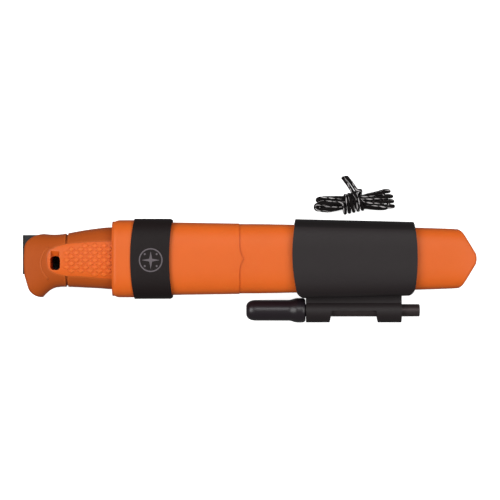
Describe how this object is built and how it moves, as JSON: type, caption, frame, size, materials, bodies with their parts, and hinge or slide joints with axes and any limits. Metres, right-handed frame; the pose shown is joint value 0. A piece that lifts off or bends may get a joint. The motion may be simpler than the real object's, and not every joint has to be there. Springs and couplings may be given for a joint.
{
  "type": "sheath knife",
  "caption": "Fixed-blade knife in a hard polymer sheath with a belt loop, a slide-on cover holding a fire steel and sharpening plate, and a wrapped hank of cord.",
  "frame": {"origin": "on the back face of the belt loop, at the middle of the belt passage's length and on the sheath's long axis", "axes": "+X to the sheath's tip, +Y to the spine side of the knife, +Z out of the front face; -Z is the belt loop's back face"},
  "size_m": [0.255, 0.0838, 0.0371],
  "materials": {
    "sheath_polymer": "fine moulded texture, orange",
    "core_polymer": "moulded diamond grip, orange",
    "grip_rubber": "soft matte overmould, dark orange",
    "black_polymer": "smooth moulded black",
    "cover_polymer": "fine moulded texture, charcoal",
    "loop_strap": "black, matte",
    "rivet_steel": "blackened",
    "blade_steel": "satin, ground bevel",
    "plate_grit": "diamond grit on a perforated plate",
    "ferro_metal": "dark matte rod",
    "striker_polymer": "satin black",
    "cord_fibre": "braided, black with light tracer flecks"
  },
  "bodies": {
    "sheath": {"sheath_body": "sheath_polymer", "carrier_band": "black_polymer", "belt_loop": "loop_strap", "belt_loop_rivets": "rivet_steel"},
    "knife": {"blade": "blade_steel", "handle_core": "core_polymer", "grip_overmould": "grip_rubber"},
    "cover": {"kit_cover": "cover_polymer", "sharpening_plate": "plate_grit"},
    "fire_starter": {"ferro_rod": "ferro_metal", "striker_handle": "striker_polymer"},
    "cord": {"cord_hank": "cord_fibre", "cord_tail_start": "cord_fibre", "cord_tail_end": "cord_fibre"}
  },
  "joints": [
    {"name": "knife_draw", "type": "slide", "parent": "sheath", "child": "knife", "axis": [-1, 0, 0], "range_m": [0, 0.19]},
    {"name": "cover_slide", "type": "slide", "parent": "sheath", "child": "cover", "axis": [1, 0, 0], "range_m": [0, 0.11]},
    {"name": "fire_starter_draw", "type": "slide", "parent": "cover", "child": "fire_starter", "axis": [-1, 0, 0], "range_m": [0, 0.066]},
    {"name": "cord_lift", "type": "slide", "parent": "sheath", "child": "cord", "axis": [0, 0, 1], "range_m": [0, 0.06]}
  ]
}
